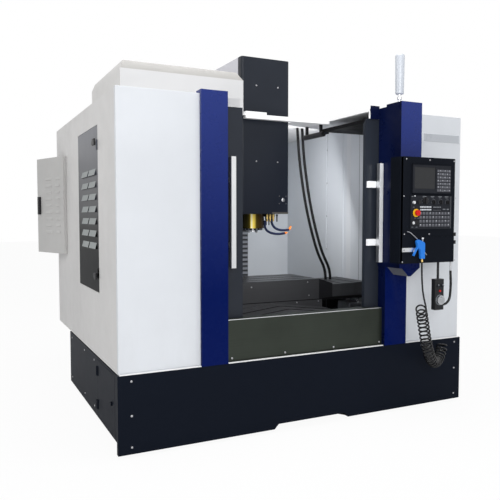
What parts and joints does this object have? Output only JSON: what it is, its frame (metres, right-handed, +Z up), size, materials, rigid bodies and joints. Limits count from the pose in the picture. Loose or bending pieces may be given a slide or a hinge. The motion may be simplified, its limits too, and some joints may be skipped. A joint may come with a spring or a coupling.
{
  "type": "machining center",
  "caption": "Enclosed vertical machining center: column, spindle head, table on crossed slides, tool magazine, sliding doors, swivelling control and coiled air hose.",
  "frame": {"origin": "on the floor, at the middle of the square of four anchor holes in the bed's levelling feet", "axes": "+Z up, -Y to the operator's side with the doors, +X to the side with the control box"},
  "size_m": [2.6598, 2.44, 2.46],
  "materials": {
    "front_paint": "fine-textured semi-gloss",
    "side_paint": "fine-textured semi-gloss",
    "navy_paint": "semi-gloss",
    "dark_paint": "semi-gloss",
    "liner_paint": "satin",
    "casting_paint": "painted",
    "stainless": "brushed",
    "ground_iron": "ground",
    "polished_steel": "polished",
    "gilt_steel": "anodised",
    "motor_black": "satin",
    "glass": "clear",
    "lamp_white": "frosted",
    "control_skin": "fine-textured",
    "control_plates": "satin",
    "black_plastic": "moulded",
    "red_plastic": "glossy",
    "green_plastic": "glossy",
    "blue_plastic": "glossy",
    "orange_plastic": "glossy",
    "hose_rubber": "smooth"
  },
  "bodies": {
    "frame": {"skirts": "dark_paint", "left_front_panel": "front_paint", "right_front_panel": "front_paint", "left_pillar": "navy_paint", "right_pillar": "navy_paint", "sill": "stainless", "left_side_panel": "side_paint", "right_side_panel": "side_paint", "rear_cabinet": "side_paint", "roof_frame": "side_paint", "magazine_cover": "side_paint", "inner_liner": "liner_paint", "coolant_tank": "side_paint", "levelling_feet": "casting_paint", "bed_casting": "casting_paint", "column_casting": "casting_paint", "axis_motors": "motor_black", "z_way_cover": "stainless", "y_way_cover": "stainless", "work_lamp": "lamp_white", "signal_lamp": "lamp_white", "x_axis_conduits": "hose_rubber"},
    "saddle": {"saddle_casting": "casting_paint", "x_motor": "motor_black", "x_way_covers": "stainless"},
    "table": {"work_table": "ground_iron", "table_guard": "front_paint"},
    "head": {"head_casting": "casting_paint", "head_front_cover": "dark_paint", "head_side_covers": "front_paint", "spindle_cartridge": "gilt_steel", "coolant_nozzles": "orange_plastic"},
    "spindle": {"spindle": "polished_steel"},
    "x_screw": {"x_ball_screw": "polished_steel"},
    "y_screw": {"y_ball_screw": "polished_steel"},
    "z_screw": {"z_ball_screw": "polished_steel"},
    "magazine": {"magazine_disc": "casting_paint"},
    "arm": {"tool_arm": "polished_steel"},
    "left_leaf": {"left_door": "dark_paint", "left_window": "glass"},
    "right_leaf": {"right_door": "dark_paint", "right_window": "glass"},
    "louvred_leaf": {"louvred_door": "side_paint"},
    "hatch": {"skirt_hatch": "dark_paint"},
    "service_leaf": {"service_door": "side_paint"},
    "control": {"control_box": "control_skin", "control_face": "control_plates", "air_gun": "blue_plastic", "hand_unit": "black_plastic", "hand_unit_lead": "hose_rubber", "air_hose_tail": "hose_rubber", "air_hose_coil": "hose_rubber"},
    "stop_button": {"emergency_stop": "red_plastic"},
    "start": {"start_button": "green_plastic"},
    "override": {"override_dial": "black_plastic"},
    "mode_1": {"dial_1": "black_plastic"},
    "mode_2": {"dial_2": "black_plastic"},
    "mode_3": {"dial_3": "black_plastic"},
    "gun_lever": {"air_gun_lever": "blue_plastic"},
    "hand_wheel": {"hand_unit_wheel": "polished_steel"}
  },
  "joints": [
    {"name": "y_slide", "type": "slide", "parent": "frame", "child": "saddle", "axis": [0, 1, 0], "range_m": [-0.1, 0.3], "deforming": ["y_way_cover", "x_axis_conduits"]},
    {"name": "x_slide", "type": "slide", "parent": "saddle", "child": "table", "axis": [1, 0, 0], "range_m": [-0.325, 0.325], "deforming": ["x_way_covers"]},
    {"name": "z_slide", "type": "slide", "parent": "frame", "child": "head", "axis": [0, 0, 1], "range_m": [-0.24, 0.26], "deforming": ["z_way_cover"]},
    {"name": "spindle_spin", "type": "hinge", "parent": "head", "child": "spindle", "pos_m": [0, -0.145, 1.3], "axis": [0, 0, 1], "continuous": true},
    {"name": "x_screw_spin", "type": "hinge", "parent": "saddle", "child": "x_screw", "pos_m": [0, -0.235, 0.755], "axis": [1, 0, 0], "range_deg": [-11800, 11800]},
    {"name": "y_screw_spin", "type": "hinge", "parent": "frame", "child": "y_screw", "pos_m": [0, 0, 0.505], "axis": [0, 1, 0], "range_deg": [-3700, 10900]},
    {"name": "z_screw_spin", "type": "hinge", "parent": "frame", "child": "z_screw", "pos_m": [0, 0.39, 1], "axis": [0, 0, 1], "range_deg": [-8740, 9460]},
    {"name": "magazine_spin", "type": "hinge", "parent": "frame", "child": "magazine", "pos_m": [-0.56, 0.01, 1.85], "axis": [1, 0, 0], "continuous": true},
    {"name": "arm_swing", "type": "hinge", "parent": "frame", "child": "arm", "pos_m": [-0.34, -0.145, 1.2], "axis": [0, 0, 1], "range_deg": [0, 180]},
    {"name": "left_door_slide", "type": "slide", "parent": "frame", "child": "left_leaf", "axis": [1, 0, 0], "range_m": [0, 0.455]},
    {"name": "right_door_slide", "type": "slide", "parent": "frame", "child": "right_leaf", "axis": [-1, 0, 0], "range_m": [0, 0.455]},
    {"name": "louvred_hinge", "type": "hinge", "parent": "frame", "child": "louvred_leaf", "pos_m": [-1.244, -0.543, 1.38], "axis": [0, 0, 1], "range_deg": [0, 110]},
    {"name": "hatch_hinge", "type": "hinge", "parent": "frame", "child": "hatch", "pos_m": [-1.23, -0.388, 0.245], "axis": [0, 0, -1], "range_deg": [0, 110]},
    {"name": "service_hinge", "type": "hinge", "parent": "frame", "child": "service_leaf", "pos_m": [-1.244, 0.565, 1.42], "axis": [0, 0, 1], "range_deg": [-19, 71]},
    {"name": "control_swivel", "type": "hinge", "parent": "frame", "child": "control", "pos_m": [0.715, -1.178, 1.4], "axis": [0, 0, 1], "range_deg": [0, 60], "deforming": ["air_hose_tail", "air_hose_coil"]},
    {"name": "stop_press", "type": "slide", "parent": "control", "child": "stop_button", "axis": [0, 1, 0], "range_m": [0, 0.006], "stiffness_N_per_m": 1500},
    {"name": "start_press", "type": "slide", "parent": "control", "child": "start", "axis": [0, 1, 0], "range_m": [0, 0.006], "stiffness_N_per_m": 400},
    {"name": "override_turn", "type": "hinge", "parent": "control", "child": "override", "pos_m": [0.627, -1.32, 1.436], "axis": [0, 1, 0], "range_deg": [-150, 150]},
    {"name": "mode_1_turn", "type": "hinge", "parent": "control", "child": "mode_1", "pos_m": [0.697, -1.32, 1.427], "axis": [0, 1, 0], "range_deg": [-150, 150]},
    {"name": "mode_2_turn", "type": "hinge", "parent": "control", "child": "mode_2", "pos_m": [0.7545, -1.32, 1.427], "axis": [0, 1, 0], "range_deg": [-150, 150]},
    {"name": "mode_3_turn", "type": "hinge", "parent": "control", "child": "mode_3", "pos_m": [0.812, -1.32, 1.427], "axis": [0, 1, 0], "range_deg": [-150, 150]},
    {"name": "gun_trigger", "type": "hinge", "parent": "control", "child": "gun_lever", "pos_m": [0.565, -1.335, 1.184], "axis": [0, -1, 0], "range_deg": [0, 8], "stiffness_Nm_per_rad": 1},
    {"name": "hand_wheel_turn", "type": "hinge", "parent": "control", "child": "hand_wheel", "pos_m": [0.772, -1.3, 0.8], "axis": [0, 1, 0], "continuous": true}
  ],
  "couplings": [
    {"joint": "x_screw_spin", "follows": "x_slide", "rad_per_m": 628.32},
    {"joint": "y_screw_spin", "follows": "y_slide", "rad_per_m": 628.32},
    {"joint": "z_screw_spin", "follows": "z_slide", "rad_per_m": 628.32}
  ]
}
